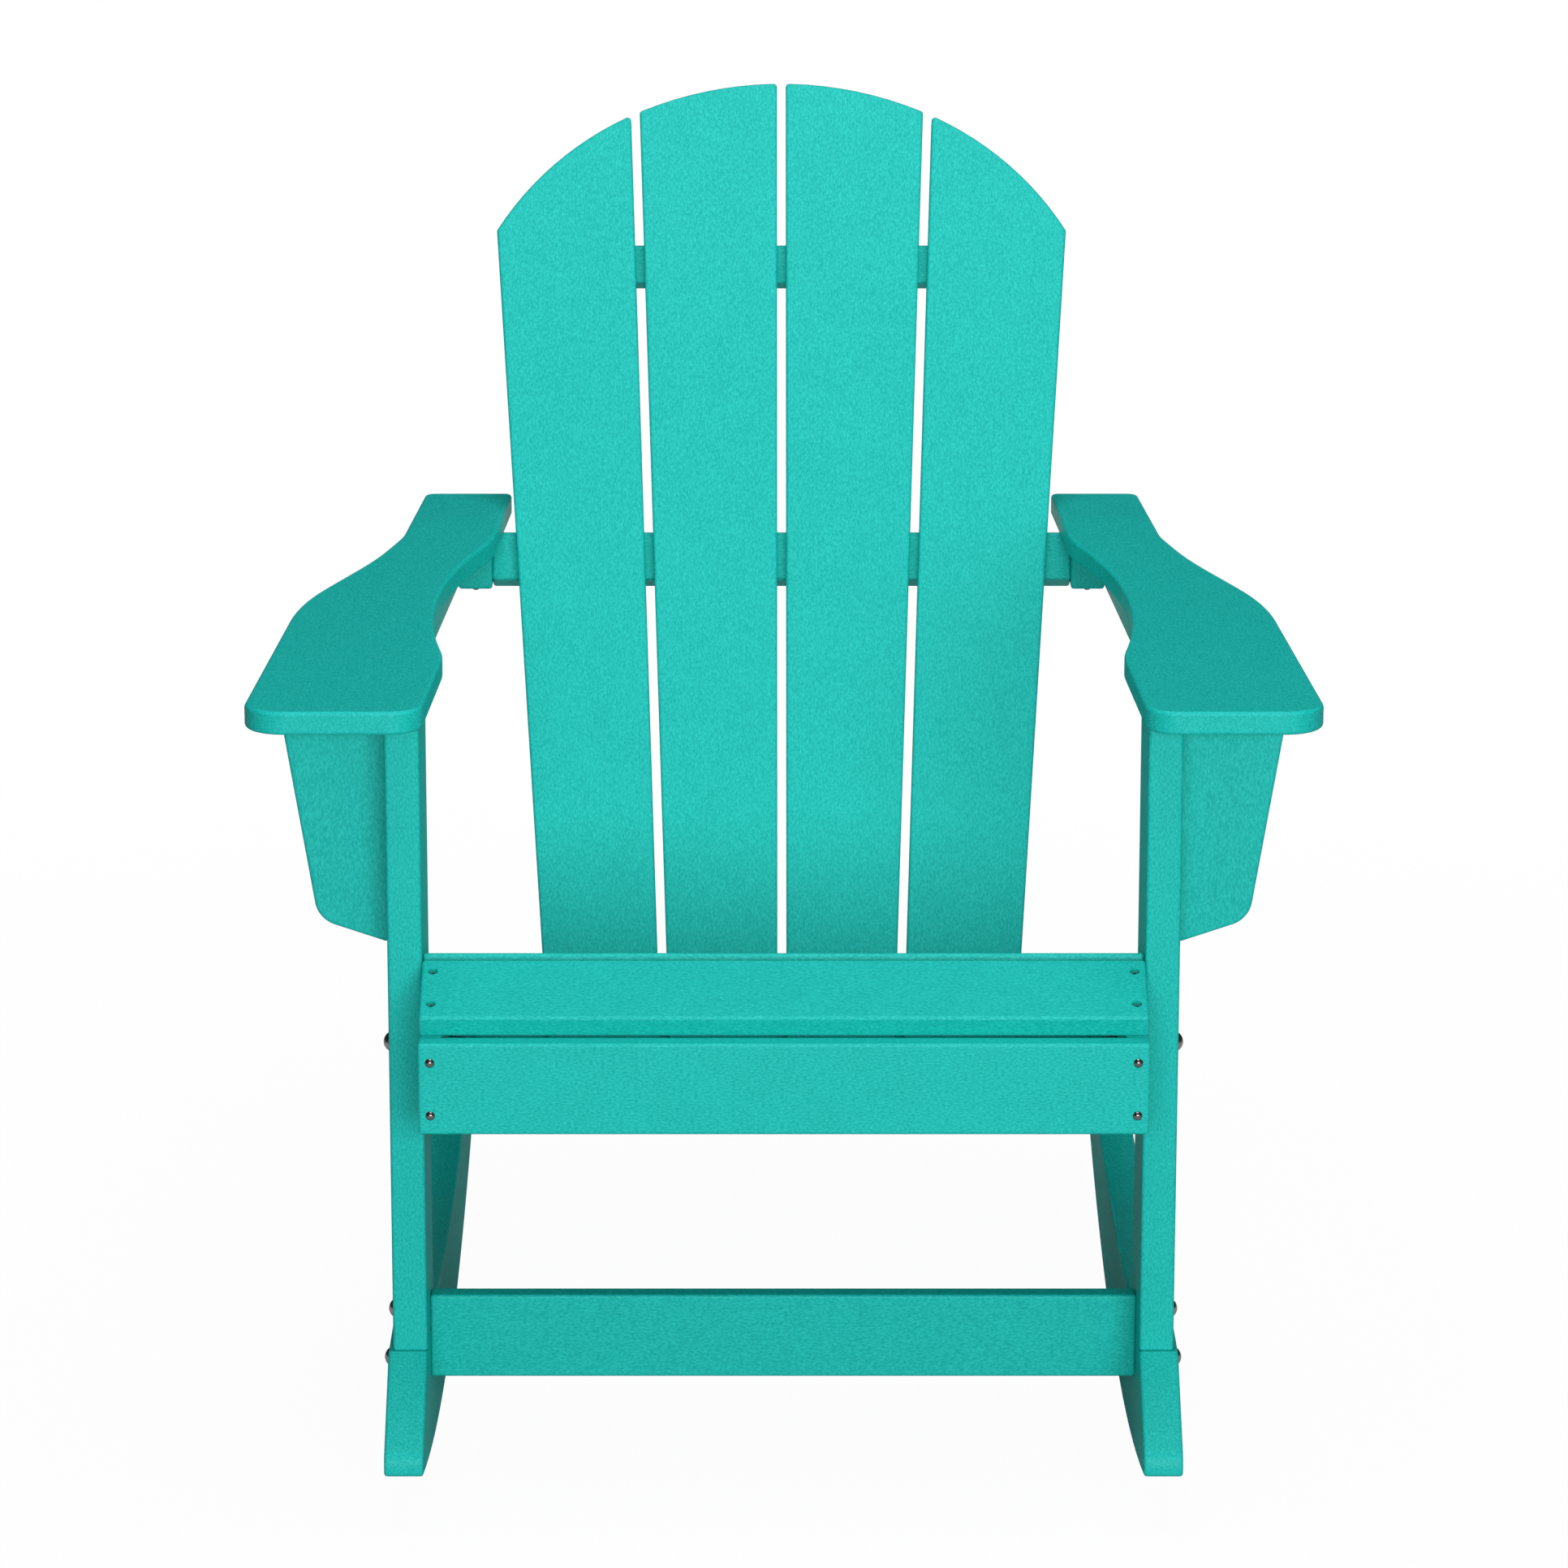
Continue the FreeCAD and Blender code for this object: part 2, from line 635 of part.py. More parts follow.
# Lower brace screws: through the stringers into the ends of the lower brace
end_screw = domed_screw(screw_head, pan_head_height, screw_shank, thin_board + screw_bite)
end_screws = []
for z in (lower_brace_bottom + screw_edge_inset, lower_brace_bottom + lower_brace_height - screw_edge_inset):
    point = back_frame.multVec(vec(leg_in, thick_board / 2, z))
    for sign, side in ((1, "right"), (-1, "left")):
        spot = vec(sign * point.x, point.y, point.z)
        end_screws.append(aimed(end_screw, spot, vec(sign, 0, 0)))
        drill(["lower_back_brace", "seat_stringer_" + side],
              [hole(spot, vec(sign, 0, 0), screw_shank, thin_board + screw_bite)])
export("lower_brace_screws", end_screws)

# Bracket screws: coloured heads sunk into the front legs' inner faces, through to the brackets
bracket_screw = flat_screw(screw_head, sunk_head_depth, screw_shank,
                           leg_board + screw_bite - sunk_below_face)
bracket_screws = []
for z in (arm_under - bracket_screw_inset, arm_under - bracket_drop + bracket_screw_inset):
    for sign, side in ((1, "right"), (-1, "left")):
        inward = vec(-sign, 0, 0)
        face = vec(sign * leg_in, leg_depth / 2, z)
        bracket_screws.append(aimed(bracket_screw, face - inward * sunk_below_face, inward))
        drill(["front_leg_" + side], [hole(face, inward, screw_head, sunk_below_face + sunk_head_depth)])
        drill(["front_leg_" + side, "arm_bracket_" + side],
              [hole(face, inward, screw_shank, leg_board + screw_bite)])
export("bracket_screws", bracket_screws)

# Block screws: one through each block into the brace's end, two up into each arm
side_screw = domed_screw(screw_head, pan_head_height, screw_shank, arm_block_width + screw_bite)
lift_screw = domed_screw(screw_head, pan_head_height, screw_shank, arm_block_height + slat_screw_bite)
block_screws = []
brace_middle = back_frame.multVec(vec(0, thick_board / 2, -mid_brace_height / 2))
for sign, side in ((1, "right"), (-1, "left")):
    spot = vec(sign * (mid_brace_half + arm_block_width), brace_middle.y, brace_middle.z)
    block_screws.append(aimed(side_screw, spot, vec(sign, 0, 0)))
    drill(["arm_block_" + side, "mid_back_brace"],
          [hole(spot, vec(sign, 0, 0), screw_shank, arm_block_width + screw_bite)])
    for y in (block_front + screw_head, block_front + arm_block_depth - screw_head):
        spot = vec(sign * (mid_brace_half + arm_block_width / 2), y, arm_under - arm_block_height)
        block_screws.append(aimed(lift_screw, spot, vec(0, 0, -1)))
        drill(["arm_block_" + side, "arm_" + side],
              [hole(spot, vec(0, 0, -1), screw_shank, arm_block_height + slat_screw_bite)])
export("block_screws", block_screws)

# Rail screws: up through each rail into the arm, two near its ends and one at its middle
rail_screw = domed_screw(screw_head, pan_head_height, screw_shank, arm_rail_height + slat_screw_bite)
rail_screws = []
rail_middle = (rail_front + block_front) / 2
for y in (rail_front + arm_rail_screw_inset, rail_middle, block_front - arm_rail_screw_inset):
    x = rail_front_in + rail_width / 2 - (y - rail_front) * rail_splay
    for sign, side in ((1, "right"), (-1, "left")):
        spot = vec(sign * x, y, rail_bottom)
        rail_screws.append(aimed(rail_screw, spot, vec(0, 0, -1)))
        drill(["arm_rail_" + side, "arm_" + side],
              [hole(spot, vec(0, 0, -1), screw_shank, arm_rail_height + slat_screw_bite)])
export("rail_screws", rail_screws)

# Stringer bolts: one through each front leg and stringer, with a washer and a nut inside
grip = leg_board + thin_board
bolt_height = stringer_top(leg_depth / 2) - stringer_drop / 2 - bolt_below_middle
bolt = domed_screw(bolt_head, bolt_head_height, bolt_shank,
                   grip + washer_thickness + nut_thickness + bolt_tail)
washer_ring = Part.makeCylinder(washer_width / 2, washer_thickness)
washer_ring = washer_ring.cut(Part.makeCylinder(bolt_shank / 2 + hole_clearance, washer_thickness))
hexagon = [vec(nut_width / math.sqrt(3) * math.cos(math.radians(60 * k)),
               nut_width / math.sqrt(3) * math.sin(math.radians(60 * k)), 0) for k in range(7)]
nut_block = Part.Face(Part.makePolygon(hexagon)).extrude(vec(0, 0, nut_thickness))
nut_block = nut_block.cut(Part.makeCylinder(bolt_shank / 2 + hole_clearance, nut_thickness))
bolts = []
washers = []
nuts = []
for sign, side in ((1, "right"), (-1, "left")):
    outward = vec(sign, 0, 0)
    spot = vec(sign * leg_out, leg_depth / 2, bolt_height)
    inside = vec(sign * stringer_in, leg_depth / 2, bolt_height)
    bolts.append(aimed(bolt, spot, outward))
    washers.append(aimed(washer_ring, inside - outward * washer_thickness, outward))
    nuts.append(aimed(nut_block, inside - outward * (washer_thickness + nut_thickness), outward))
    drill(["front_leg_" + side, "seat_stringer_" + side], [hole(spot, outward, bolt_shank, grip)])
export("stringer_bolts", bolts)
export("stringer_washers", washers)
export("stringer_nuts", nuts)

# Stretcher bolts: through each front leg and each rocker into the ends of the front stretcher
stretcher_mid = stretcher_setback + thin_board / 2
leg_lag = domed_screw(bolt_head, bolt_head_height, lag_shank, leg_board + lag_bite)
rocker_lag = domed_screw(bolt_head, bolt_head_height, lag_shank, rocker_board + lag_bite)
stretcher_bolts = []
for sign, side in ((1, "right"), (-1, "left")):
    outward = vec(sign, 0, 0)
    spot = vec(sign * leg_out, stretcher_mid, stretcher_top - lag_edge_inset)
    stretcher_bolts.append(aimed(leg_lag, spot, outward))
    drill(["front_leg_" + side, "front_stretcher"], [hole(spot, outward, lag_shank, leg_board + lag_bite)])
    spot = vec(sign * (leg_in + rocker_board), stretcher_mid,
               stretcher_top - stretcher_height + lag_edge_inset)
    stretcher_bolts.append(aimed(rocker_lag, spot, outward))
    drill(["rocker_" + side, "front_stretcher"], [hole(spot, outward, lag_shank, rocker_board + lag_bite)])
export("front_stretcher_bolts", stretcher_bolts)

# Rear bolts: through each rear leg and stringer into the ends of the rear stretcher
rear_mid = rear_stretcher_y + thin_board / 2
rear_lag = domed_screw(bolt_head, bolt_head_height, lag_shank, grip + lag_bite)
rear_bolts = []
for sign, side in ((1, "right"), (-1, "left")):
    outward = vec(sign, 0, 0)
    for z in (rear_stretcher_top - lag_edge_inset, rear_stretcher_top - stretcher_height + lag_edge_inset):
        spot = vec(sign * leg_out, rear_mid, z)
        rear_bolts.append(aimed(rear_lag, spot, outward))
        drill(["rear_leg_" + side, "seat_stringer_" + side, "rear_stretcher"],
              [hole(spot, outward, lag_shank, grip + lag_bite)])
export("rear_stretcher_bolts", rear_bolts)

# Dowels: hidden pins between the legs and the rockers, and between the front legs and the arms
leg_middle = leg_in + leg_board / 2
foot_dowels = []
arm_dowels = []
foot_pin = Part.makeCylinder(dowel_width / 2, dowel_length)
arm_pin = Part.makeCylinder(dowel_width / 2, dowel_length / 2 + arm_dowel_depth)
up = vec(0, 0, 1)
for sign, side in ((1, "right"), (-1, "left")):
    seats = [("front_leg_", y, leg_foot_height - dowel_length / 2)
             for y in (dowel_inset, leg_depth - dowel_inset)]
    seats += [("rear_leg_", y, rocker_waist_height - rear_dowel_depth)
              for y in (rear_leg_front + dowel_inset, rear_leg_back - dowel_inset)]
    for leg, y, z in seats:
        foot = vec(sign * leg_middle, y, z)
        foot_dowels.append(aimed(foot_pin, foot, up))
        drill([leg + side, "rocker_" + side], [hole(foot, up * -1, dowel_width, dowel_length)])
    for y in (dowel_inset, leg_depth - dowel_inset):
        foot = vec(sign * leg_middle, y, arm_under - dowel_length / 2)
        arm_dowels.append(aimed(arm_pin, foot, up))
        drill(["front_leg_" + side, "arm_" + side],
              [hole(foot, up * -1, dowel_width, dowel_length / 2 + arm_dowel_depth)])
export("foot_dowels", foot_dowels)
export("arm_dowels", arm_dowels)

# Holes are cut last, and the finished chair is centred over the origin along Y
for name, cutters in holes.items():
    pieces[name] = pieces[name].cut(Part.makeCompound(cutters))
whole = Part.makeCompound(list(pieces.values())).optimalBoundingBox(False)
for name, shape in pieces.items():
    shape.translate(vec(0, -(whole.YMin + whole.YMax) / 2, 0))
    shape.exportStep("parts/%s.step" % name)
print("depth %.1f width %.1f height %.1f" % (whole.YLength, whole.XLength, whole.ZLength))
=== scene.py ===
# %% [markdown]
# # A rocking Adirondack chair in coloured plastic lumber
# The chair is made of flat boards with softened edges, held by screws and bolts. Its exact boards
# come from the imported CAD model, so this lesson gives them their surface, makes the screws, bolts,
# nuts and washers in full detail, and sets the whole under a studio light. Everything is in metres.

# %% The fixed frame
import math

import bmesh
import bpy
import numpy as np
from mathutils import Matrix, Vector


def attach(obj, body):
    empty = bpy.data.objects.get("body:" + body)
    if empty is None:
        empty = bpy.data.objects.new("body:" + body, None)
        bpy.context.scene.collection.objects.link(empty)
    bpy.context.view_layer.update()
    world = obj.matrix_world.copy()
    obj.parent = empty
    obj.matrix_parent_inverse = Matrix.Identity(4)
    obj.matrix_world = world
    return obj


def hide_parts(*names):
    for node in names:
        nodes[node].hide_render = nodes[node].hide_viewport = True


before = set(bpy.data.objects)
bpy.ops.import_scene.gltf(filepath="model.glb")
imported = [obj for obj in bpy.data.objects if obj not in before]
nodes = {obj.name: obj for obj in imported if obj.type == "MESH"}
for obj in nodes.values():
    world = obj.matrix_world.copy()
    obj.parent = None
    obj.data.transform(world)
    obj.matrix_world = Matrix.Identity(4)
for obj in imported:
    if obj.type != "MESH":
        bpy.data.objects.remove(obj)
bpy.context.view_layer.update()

print("boards and fasteners from the CAD model:", len(nodes))

# %% [markdown]
# ## The camera
# The photograph was taken from in front and about fifteen degrees above, with a long lens, so the
# arms hardly draw together towards the back. A long lens far away gives the same calm perspective
# as the photograph, where a short lens nearby would swell the rockers.

# %% Camera
image_side = 1932
focal_length_pixels = 8000
chair_off_centre_pixels = 25.5
look_down = 14.979
lens_place = (-0.0154, -5.0762, 1.8334)

lens = bpy.data.cameras.new("long_lens")
lens.sensor_width = 36
lens.lens = lens.sensor_width * focal_length_pixels / image_side
lens.shift_x = chair_off_centre_pixels / image_side
camera = bpy.data.objects.new("camera", lens)
camera.location = lens_place
camera.rotation_euler = (math.radians(90 - look_down), 0, 0)
bpy.context.scene.collection.objects.link(camera)
bpy.context.scene.camera = camera
print("lens in mm: %.1f" % lens.lens)

# %% [markdown]
# ## The studio light
# In the photograph the arms throw no shadow down the legs, while the stretcher's top under the
# seat is dark. So the light comes from low in front and from overhead, and both sources are wide.
# The low one is the studio's white wall behind the camera, which is the world's light further
# below, and a wide softbox in it; the other is a softbox over the chair. One more lights the back
# boards from behind and is kept out of reflections, which would whiten the arm tops. A softbox's
# power is worked out from the level at which it should show a white board that faces it, so the
# colours render about as they are written.

# %% Softboxes
chair_middle = Vector((0, 0, 0.5))


def softbox(name, azimuth, elevation, distance, width, height, level):
    """Area lamp aimed at the chair. A lamp of power P at distance d gives a facing surface the
    light P / (pi d squared), and a matt white one then shows P / (pi squared d squared)."""
    a, e = math.radians(azimuth), math.radians(elevation)
    away = Vector((math.sin(a) * math.cos(e), -math.cos(a) * math.cos(e), math.sin(e)))
    data = bpy.data.lights.new(name, "AREA")
    data.shape = "RECTANGLE"
    data.size, data.size_y = width, height
    data.energy = level * (math.pi * distance) ** 2
    lamp = bpy.data.objects.new(name, data)
    lamp.location = chair_middle + away * distance
    lamp.rotation_euler = away.to_track_quat("Z", "Y").to_euler()
    lamp.visible_camera = False
    bpy.context.scene.collection.objects.link(lamp)
    return lamp


softbox("front_softbox", azimuth=6, elevation=10, distance=5, width=3.2, height=1.4, level=0.56)
softbox("top_softbox", azimuth=10, elevation=76, distance=2.6, width=1.7, height=1.7, level=0.53)
behind = softbox("back_softbox", azimuth=180, elevation=6, distance=4, width=3.0, height=1.2,
                 level=0.34)
behind.visible_glossy = False

# %% [markdown]
# ## Colours and nodes
# Colours are written as the sRGB hex values that a colour chart gives, while the renderer works in
# linear light, so one function turns the first into the second. One more adds a node, sets its
# values and plugs in its links.

# %% Helpers for colours and nodes


def linear(hex_colour):
    """Linear red, green, blue and alpha of an sRGB hex colour: below 0.04045 a channel is divided
    by 12.92, and above it is (channel + 0.055) / 1.055 to the power 2.4."""
    channels = np.array([int(hex_colour[i:i + 2], 16) for i in (1, 3, 5)]) / 255
    low, high = channels / 12.92, ((channels + 0.055) / 1.055) ** 2.4
    return (*np.where(channels <= 0.04045, low, high), 1.0)


def add(tree, kind, settings=None, links=None):
    """Adds a node. Settings name its properties or its inputs, and links plug an output socket
    into an input, which is given by its name or its number."""
    node = tree.nodes.new(kind)
    for name, value in (settings or {}).items():
        if isinstance(name, str) and hasattr(node, name):
            setattr(node, name, value)
        else:
            node.inputs[name].default_value = value
    for name, socket in (links or {}).items():
        tree.links.new(socket, node.inputs[name])
    return node


# %% [markdown]
# ## The studio's white surround
# The photograph's background is plain white, so the world and the floor are white where the
# camera looks at them. As a light the world stands for the studio's walls: at the angle a from
# the wall behind the camera it gives a base level plus a lobe of the cosine of a, squared, so
# every crevice between the boards darkens softly. The floor keeps a faint shadow so that the
# rockers stand on something, and in the polished bolts it shows as the white paper it is. It
# throws less light back at the chair than white paper would, because the photograph's boards are
# dark underneath.

# %% Surround and floor
wall_base, wall_lobe = 0.04, 0.33
wall_tint = (0.93, 1.0, 1.07, 1)
paper_tone, paper_tone_as_light = 0.95, 0.40
wall_azimuth, wall_elevation = math.radians(12), math.radians(10)
world = bpy.data.worlds.new("white_studio")
bpy.context.scene.world = world
world.use_nodes = True
sky = world.node_tree
sky.nodes.clear()
seen = add(sky, "ShaderNodeLightPath").outputs["Is Camera Ray"]
wall = (math.sin(wall_azimuth) * math.cos(wall_elevation),
        -math.cos(wall_azimuth) * math.cos(wall_elevation), math.sin(wall_elevation))
facing = add(sky, "ShaderNodeVectorMath", {"operation": "DOT_PRODUCT", 1: wall},
             {0: add(sky, "ShaderNodeTexCoord").outputs["Generated"]})
ahead = add(sky, "ShaderNodeMath", {"operation": "MAXIMUM", 1: 0.0}, {0: facing.outputs["Value"]})
lobe = add(sky, "ShaderNodeMath", {"operation": "POWER", 1: 2.0}, {0: ahead.outputs[0]})
walls = add(sky, "ShaderNodeMath", {"operation": "MULTIPLY_ADD", 1: wall_lobe, 2: wall_base},
            {0: lobe.outputs[0]})
fill = add(sky, "ShaderNodeBackground", {"Color": wall_tint}, {"Strength": walls.outputs[0]})
white = add(sky, "ShaderNodeBackground", {"Color": (1, 1, 1, 1), "Strength": 1.0})
surround = add(sky, "ShaderNodeMixShader", links={0: seen, 1: fill.outputs[0], 2: white.outputs[0]})
add(sky, "ShaderNodeOutputWorld", links={"Surface": surround.outputs[0]})

floor_reach = 20
floor_mesh = bpy.data.meshes.new("paper_floor")
floor_mesh.from_pydata([(-floor_reach, -floor_reach, 0), (floor_reach, -floor_reach, 0),
                        (floor_reach, floor_reach, 0), (-floor_reach, floor_reach, 0)],
                       [], [(0, 1, 2, 3)])
floor = bpy.data.objects.new("paper_floor", floor_mesh)
bpy.context.scene.collection.objects.link(floor)
paper = bpy.data.materials.new("matt_white_paper")
paper.use_nodes = True
sheet = paper.node_tree
sheet.nodes.clear()
rays = add(sheet, "ShaderNodeLightPath")
seen = add(sheet, "ShaderNodeMath", {"operation": "MAXIMUM"},
           {0: rays.outputs["Is Camera Ray"], 1: rays.outputs["Is Glossy Ray"]})
seen = add(sheet, "ShaderNodeMath", {"operation": "MAXIMUM"},
           {0: seen.outputs[0], 1: rays.outputs["Is Transmission Ray"]})
tone = add(sheet, "ShaderNodeMapRange", {"To Min": paper_tone_as_light, "To Max": paper_tone},
           {"Value": seen.outputs[0]})
diffuse = add(sheet, "ShaderNodeBsdfDiffuse", links={"Color": tone.outputs[0]})
glow = add(sheet, "ShaderNodeEmission", {"Color": (1, 1, 1, 1), "Strength": 1.0})
from_chair = add(sheet, "ShaderNodeVectorMath", {"operation": "LENGTH"},
                 {0: add(sheet, "ShaderNodeTexCoord").outputs["Object"]})
fade = add(sheet, "ShaderNodeMapRange", {"interpolation_type": "SMOOTHSTEP", "From Min": 0.5,
                                         "From Max": 2.2, "To Min": 0.97, "To Max": 1.0},
           {"Value": from_chair.outputs["Value"]})
whitened = add(sheet, "ShaderNodeMath", {"operation": "MULTIPLY"},
               {0: rays.outputs["Is Camera Ray"], 1: fade.outputs[0]})
mixed = add(sheet, "ShaderNodeMixShader", links={0: whitened.outputs[0], 1: diffuse.outputs[0],
                                                 2: glow.outputs[0]})
add(sheet, "ShaderNodeOutputMaterial", links={"Surface": mixed.outputs[0]})
floor_mesh.materials.append(paper)
print("light of the walls: %.2f to %.2f" % (wall_base, wall_base + wall_lobe))

# %% [markdown]
# ## Plastic lumber
# The boards are high-density polyethylene, coloured right through and extruded as planks. The die
# drags the skin into short flecks along each plank, and each fleck catches a little light of its
# own. So the pattern is a noise stretched along the board: one fleck is about 2.8 mm long and
# 1.2 mm wide. A Mapping node in its Texture mode reads as those real sizes: its rotation is the
# way the plank runs and its scale is the size of one fleck. The same flecks vary the roughness
# and lift the surface, and the light they catch is painted into the colour as lighter flecks:
# painted glints over the boards' teal. A second, round noise gives the cloudy tone of recycled
# plastic.

# %% Plastic lumber
fleck_length, fleck_width = 0.0028, 0.0012
cloud_size = 0.035
pore_size = 0.0011
fleck_height, pore_height = 0.0001, 0.00006


def plastic_lumber(name, along):
    """HDPE lumber whose flecks run along a direction: the colour, roughness and height are a
    noise of the place, divided by the fleck's length along the board and its width across. The
    lighter flecks in the colour are painted glints."""
    material = bpy.data.materials.new("hdpe_lumber_extruded_" + name)
    material.use_nodes = True
    tree = material.node_tree
    tree.nodes.clear()
    turn = Vector((1, 0, 0)).rotation_difference(Vector(along)).to_euler()
    place = add(tree, "ShaderNodeTexCoord").outputs["Object"]
    flecks = add(tree, "ShaderNodeMapping",
                 {"vector_type": "TEXTURE", "Rotation": turn,
                  "Scale": (fleck_length, fleck_width, fleck_width)}, {"Vector": place})
    fleck = add(tree, "ShaderNodeTexNoise", {"Scale": 1.0, "Detail": 1.0},
                {"Vector": flecks.outputs[0]})
    cloud = add(tree, "ShaderNodeTexNoise", {"Scale": 1 / cloud_size, "Detail": 2.0},
                {"Vector": place})
    pore = add(tree, "ShaderNodeTexNoise", {"Scale": 1 / pore_size, "Detail": 2.0},
               {"Vector": place})
    # The ramp from darker to lighter flecks is painted glint: the light each fleck catches, painted
    # into the colour over the boards' teal.
    tint = add(tree, "ShaderNodeValToRGB", links={"Fac": fleck.outputs["Fac"]})
    tint.color_ramp.elements[0].position = 0.32
    tint.color_ramp.elements[0].color = linear("#08B9AF")
    tint.color_ramp.elements[1].position = 0.76
    tint.color_ramp.elements[1].color = linear("#2AD4CA")
    cloudy = add(tree, "ShaderNodeMapRange", {"From Min": 0.3, "From Max": 0.7, "To Min": 0.985,
                                              "To Max": 1.015}, {"Value": cloud.outputs["Fac"]})
    colour = add(tree, "ShaderNodeHueSaturation", {"Saturation": 1.0},
                 {"Color": tint.outputs["Color"], "Value": cloudy.outputs[0]})
    rough = add(tree, "ShaderNodeMapRange", {"From Min": 0.3, "From Max": 0.7, "To Min": 0.54,
                                             "To Max": 0.44}, {"Value": fleck.outputs["Fac"]})
    drawn = add(tree, "ShaderNodeBump", {"Strength": 0.5, "Distance": fleck_height},
                {"Height": fleck.outputs["Fac"]})
    skin = add(tree, "ShaderNodeBump", {"Strength": 0.35, "Distance": pore_height},
               {"Height": pore.outputs["Fac"], "Normal": drawn.outputs[0]})
    plastic = add(tree, "ShaderNodeBsdfPrincipled", {"IOR": 1.5, "Specular IOR Level": 0.18},
                  {"Base Color": colour.outputs[0], "Roughness": rough.outputs[0],
                   "Normal": skin.outputs[0]})
    add(tree, "ShaderNodeOutputMaterial", links={"Surface": plastic.outputs[0]})
    return material


lean, seat_slope = math.radians(27), math.radians(17)
plank_ways = {
    "across": ((1, 0, 0), ["apron", "front_stretcher", "rear_stretcher", "mid_back_brace",
                           "upper_back_brace", "lower_back_brace", "seat_slat_front"]
               + ["seat_slat_%d" % i for i in range(2, 8)]),
    "upright": ((0, 0, 1), ["front_leg_left", "front_leg_right", "rear_leg_left",
                            "rear_leg_right", "arm_bracket_left", "arm_bracket_right",
                            "arm_block_left", "arm_block_right"]),
    "lengthwise": ((0, 1, 0), ["arm_left", "arm_right", "arm_rail_left", "arm_rail_right",
                                "rocker_left", "rocker_right"]),
    "leaning": ((0, math.sin(lean), math.cos(lean)),
                ["back_slat_inner_left", "back_slat_inner_right", "back_slat_outer_left",
                 "back_slat_outer_right"]),
    "sloping": ((0, math.cos(seat_slope), -math.sin(seat_slope)),
                ["seat_stringer_left", "seat_stringer_right"]),
}


def dress(node, material):
    """Gives a CAD board its finish. The mesh itself is left alone."""
    mesh = nodes[node].data
    mesh.materials.clear()
    mesh.materials.append(material)


for way, (along, boards) in plank_ways.items():
    lumber = plastic_lumber(way, along)
    for board in boards:
        dress(board, lumber)
    print("planks that run %s: %d" % (way, len(boards)))

# %% [markdown]
# ## Metal and painted fasteners
# The fasteners have five finishes. The screws in the seat have heads painted in the boards' teal,
# darkened further as painted shade that stands for the shade in their sunk holes. The caps in the
# apron and, a little duller, the bolts at the sides are polished stainless steel, which shows the
# dark studio with one sharp light in it; the caps' colour is also darkened well below polished
# stainless, painted shade that stands for their dark reflection. The screws behind the back are
# plain stainless, and the hidden pins are moulded nylon. Steel keeps Blender's own reflectance and
# differs in colour and roughness, and its turning marks come from a noise as fine as they are.

# %% Fastener finishes
turning_mark = 0.0004
mark_height, peel_height = 0.00002, 0.00003


def fine_finish(name, colour, roughness, marks, metallic=1.0):
    """Metal or plastic with fine marks: the colour and the roughness are a noise of the place
    around their middle values."""
    material = bpy.data.materials.new(name)
    material.use_nodes = True
    tree = material.node_tree
    tree.nodes.clear()
    place = add(tree, "ShaderNodeTexCoord").outputs["Object"]
    mark = add(tree, "ShaderNodeTexNoise", {"Scale": 1 / turning_mark, "Detail": 2.0},
               {"Vector": place})
    rough = add(tree, "ShaderNodeMapRange", {"To Min": roughness * 0.7, "To Max": roughness * 1.4},
                {"Value": mark.outputs["Fac"]})
    tint = add(tree, "ShaderNodeMapRange", {"To Min": 0.88, "To Max": 1.1},
               {"Value": mark.outputs["Fac"]})
    shade = add(tree, "ShaderNodeHueSaturation", {"Color": linear(colour)},
                {"Value": tint.outputs[0]})
    skin = add(tree, "ShaderNodeBump", {"Strength": marks, "Distance": mark_height},
               {"Height": mark.outputs["Fac"]})
    surface = add(tree, "ShaderNodeBsdfPrincipled", {"Metallic": metallic},
                  {"Base Color": shade.outputs[0], "Roughness": rough.outputs[0],
                   "Normal": skin.outputs[0]})
    add(tree, "ShaderNodeOutputMaterial", links={"Surface": surface.outputs[0]})
    return material


def painted_head():
    """Baked enamel over a screw head, darker than the boards: its teal is darkened as painted shade
    for the head's sunk hole. It has a fine orange peel.
    """
    material = bpy.data.materials.new("enamel_darkened_as_painted_shade")
    material.use_nodes = True
    tree = material.node_tree
    tree.nodes.clear()
    place = add(tree, "ShaderNodeTexCoord").outputs["Object"]
    peel = add(tree, "ShaderNodeTexNoise", {"Scale": 1 / turning_mark, "Detail": 1.0},
               {"Vector": place})
    tint = add(tree, "ShaderNodeMapRange", {"To Min": 0.9, "To Max": 1.08},
               {"Value": peel.outputs["Fac"]})
    # The enamel's teal is darkened here as painted shade for the head's sunk hole.
    shade = add(tree, "ShaderNodeHueSaturation", {"Color": linear("#14827A")},
                {"Value": tint.outputs[0]})
    skin = add(tree, "ShaderNodeBump", {"Strength": 0.3, "Distance": peel_height},
               {"Height": peel.outputs["Fac"]})
    enamel = add(tree, "ShaderNodeBsdfPrincipled", {"Roughness": 0.38, "IOR": 1.5},
                 {"Base Color": shade.outputs[0], "Normal": skin.outputs[0]})
    add(tree, "ShaderNodeOutputMaterial", links={"Surface": enamel.outputs[0]})
    return material


enamel = painted_head()
polished_steel = fine_finish("stainless_steel_polished", "#A09B97", 0.20, 0.1)
# The cap steel's colour is darkened well below polished stainless: painted shade for its dark
# reflection.
cap_steel_darkened_as_painted_shade = fine_finish("stainless_steel_cap_darkened_as_painted_shade", "#7A7572", 0.09, 0.05)
plain_steel = fine_finish("stainless_steel_turned", "#A9A8A6", 0.32, 0.4)
pin_plastic = fine_finish("nylon_pin_moulded", "#2B2D2D", 0.5, 0.2, metallic=0.0)
print("fastener finishes:", enamel.name, polished_steel.name, cap_steel_darkened_as_painted_shade.name, plain_steel.name)

